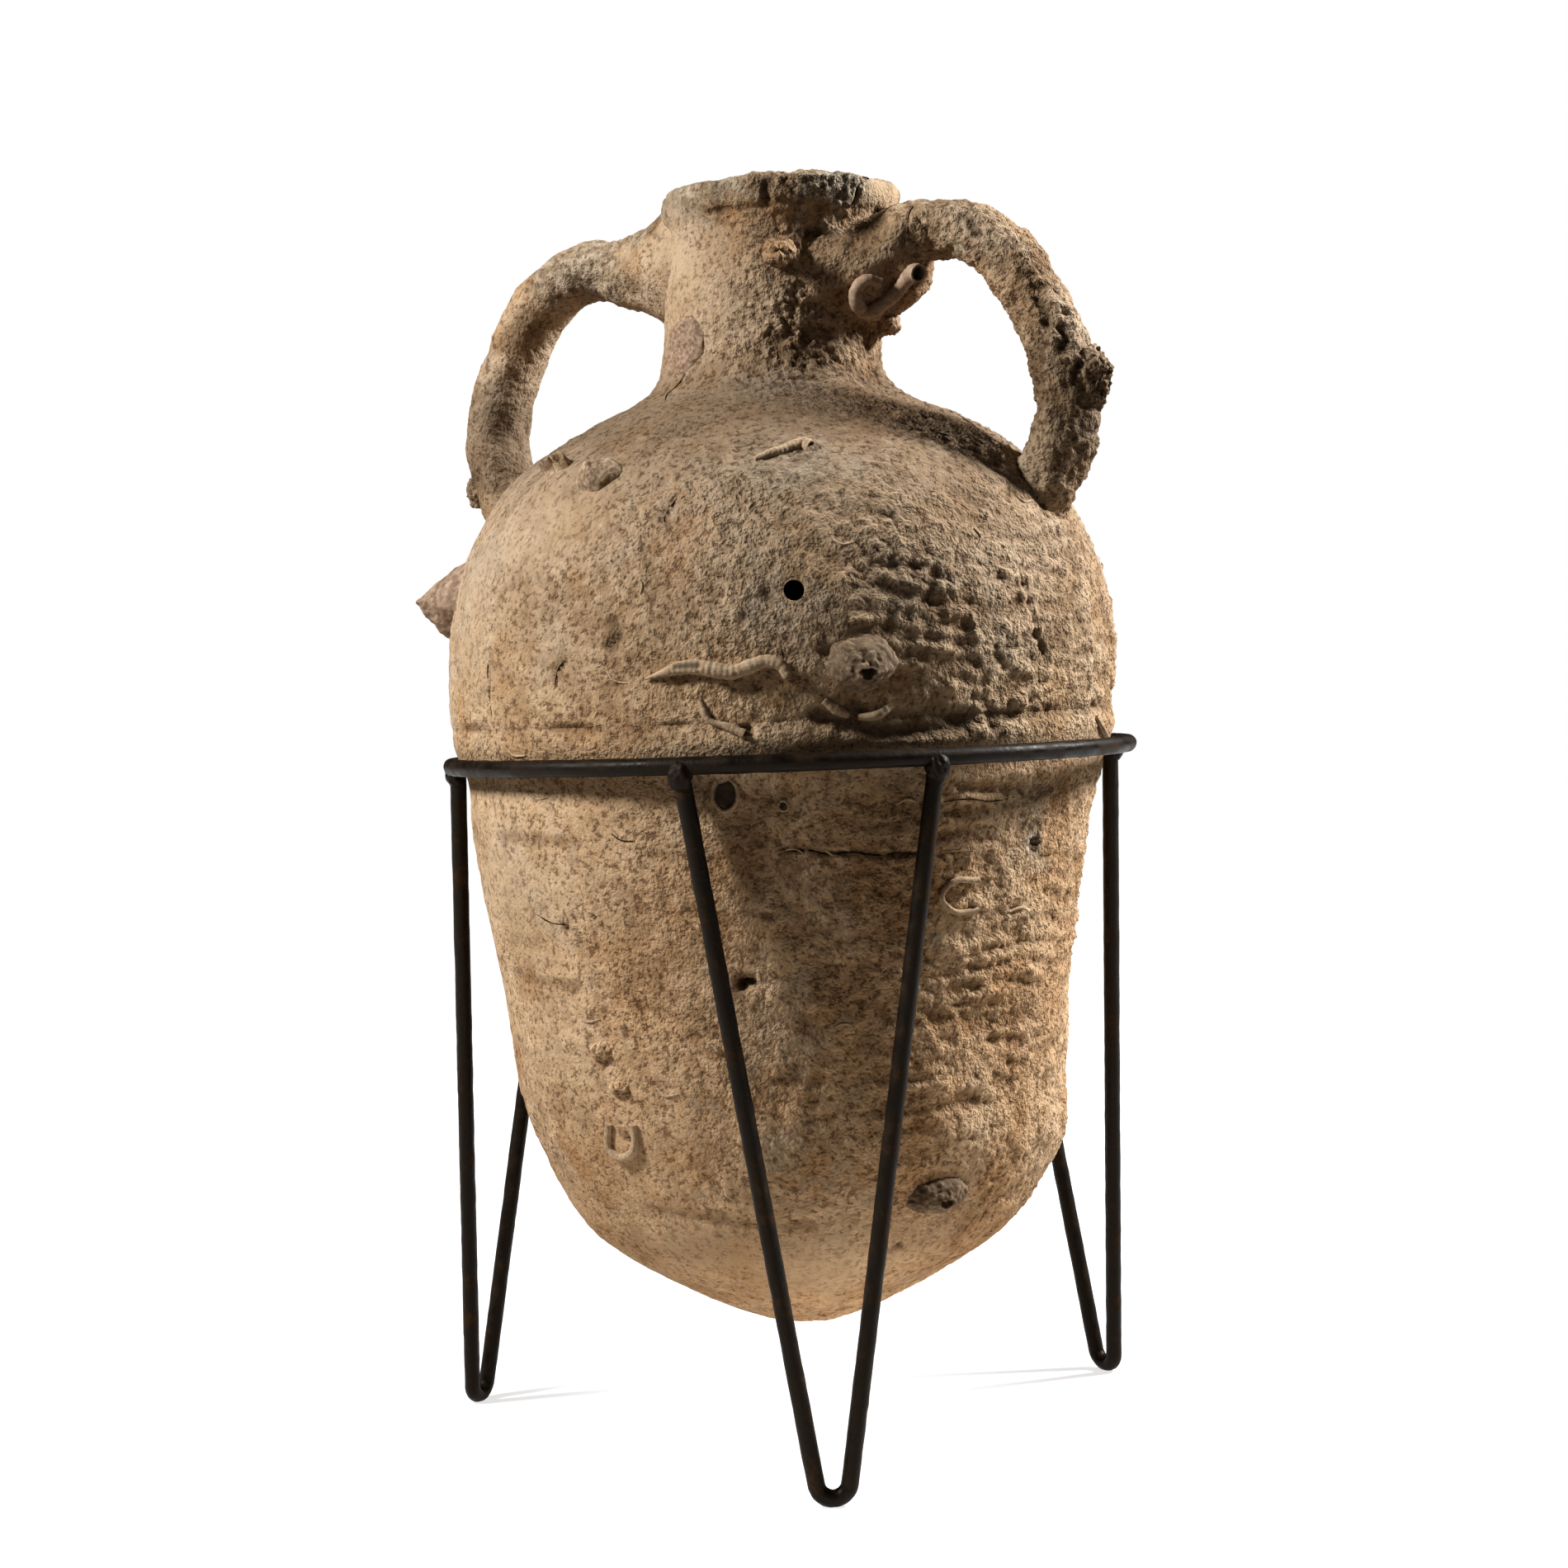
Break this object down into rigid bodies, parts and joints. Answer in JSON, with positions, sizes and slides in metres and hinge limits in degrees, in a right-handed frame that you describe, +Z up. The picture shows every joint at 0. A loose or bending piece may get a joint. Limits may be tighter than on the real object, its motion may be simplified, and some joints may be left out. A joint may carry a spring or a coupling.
{
  "type": "transport amphora",
  "caption": "Sea-crusted pointed-base clay storage jar with loop handles, hanging in a welded iron rod ring stand on hairpin legs.",
  "frame": {"origin": "middle of the whole object's box, on the floor under the feet", "axes": "+Z up along the jar; -Y is the front, with the front leg; +X is the right as seen from the front"},
  "size_m": [0.3388, 0.3324, 0.5916],
  "materials": {
    "clay": "coarse buff clay under a rough sea crust, matt",
    "growth": "limy worm tubes, barnacles and shell, chalky and matt",
    "iron": "blackened iron rod with a dull sheen and rust tints"
  },
  "bodies": {
    "stand": {"stand_ring": "iron", "stand_leg_front": "iron", "stand_leg_left": "iron", "stand_leg_right": "iron", "stand_weld_front_a": "iron", "stand_weld_front_b": "iron", "stand_weld_left_a": "iron", "stand_weld_left_b": "iron", "stand_weld_right_a": "iron", "stand_weld_right_b": "iron"},
    "amphora": {"jar_lower_body": "clay", "jar_upper_body": "clay", "jar_neck": "clay", "jar_handle_left": "clay", "jar_handle_right": "clay", "limpet_shell": "growth", "oyster_scar": "growth", "sponge_knob": "growth", "broken_cell_shell": "growth", "neck_knob": "growth", "barnacle_front": "growth", "barnacle_low": "growth", "low_bump_upper": "growth", "low_bump_lower": "growth", "tube_mouth": "growth", "small_ring_shell": "growth", "worm_tube_front": "growth", "shell_chip_front": "growth", "worm_tube_shoulder": "growth", "worm_tube_waist": "growth", "worm_tube_side": "growth", "worm_tube_curled": "growth", "worm_tube_low": "growth", "handle_lump_right": "growth", "handle_lump_left": "growth", "handle_knob": "growth", "worm_tube_handle": "growth"}
  },
  "joints": [
    {"name": "amphora_lift", "type": "slide", "parent": "stand", "child": "amphora", "axis": [0, 0, 1], "range_m": [0, 0.29]}
  ]
}
